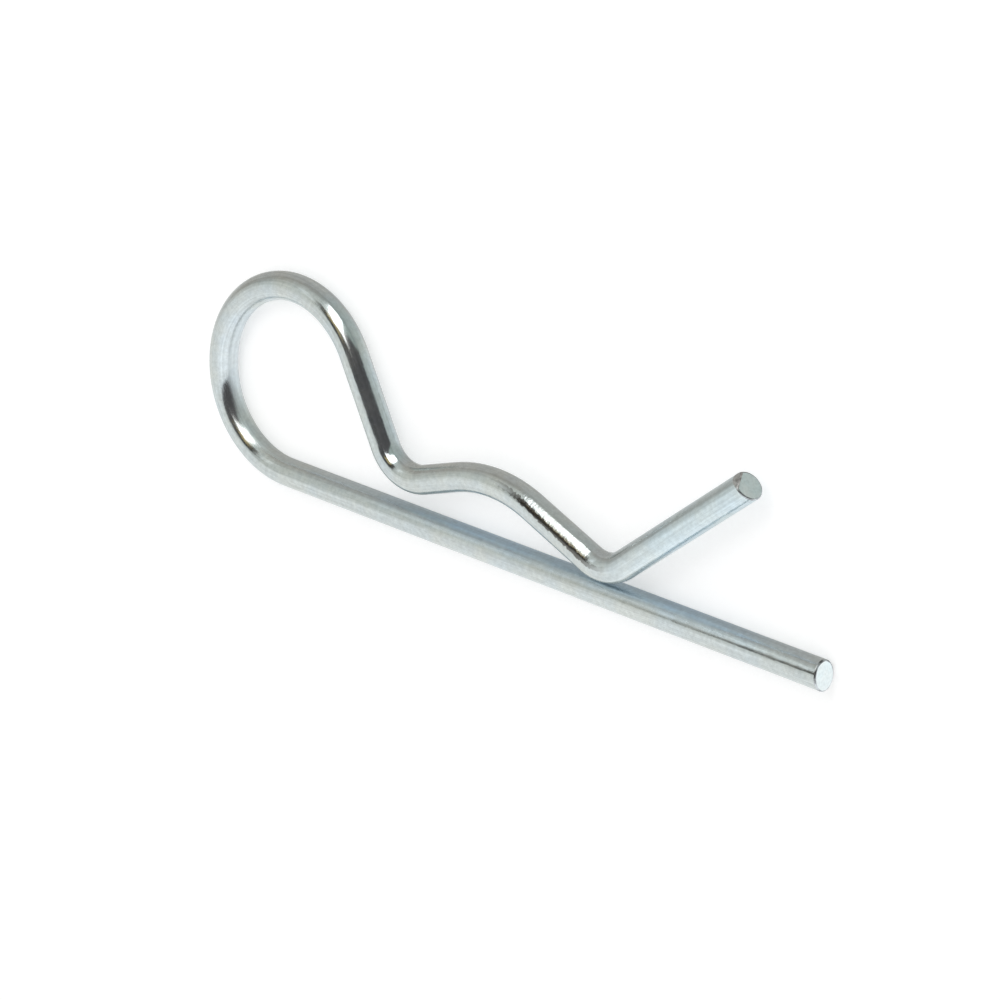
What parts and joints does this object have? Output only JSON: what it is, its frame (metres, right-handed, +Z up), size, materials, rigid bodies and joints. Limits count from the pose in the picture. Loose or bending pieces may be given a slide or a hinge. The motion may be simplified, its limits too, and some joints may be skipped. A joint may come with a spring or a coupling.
{
  "type": "hitch r clip pin",
  "caption": "Sprung R-shaped wire clip: a straight leg goes through a drilled shaft, a waved leg grips the shaft's outside, and a round loop is pulled by finger.",
  "frame": {"origin": "on the surface the clip lies on, under the middle of its length and width", "axes": "+X along the straight leg to its free end, +Y across to the curved leg, +Z up; the clip lies on its side"},
  "size_m": [0.1058, 0.0306, 0.0057],
  "materials": {
    "zinc_wire": "bright zinc plate over drawn spring wire, fine lengthwise draw lines"
  },
  "bodies": {
    "root": {"clip_wire": "zinc_wire"}
  },
  "joints": []
}
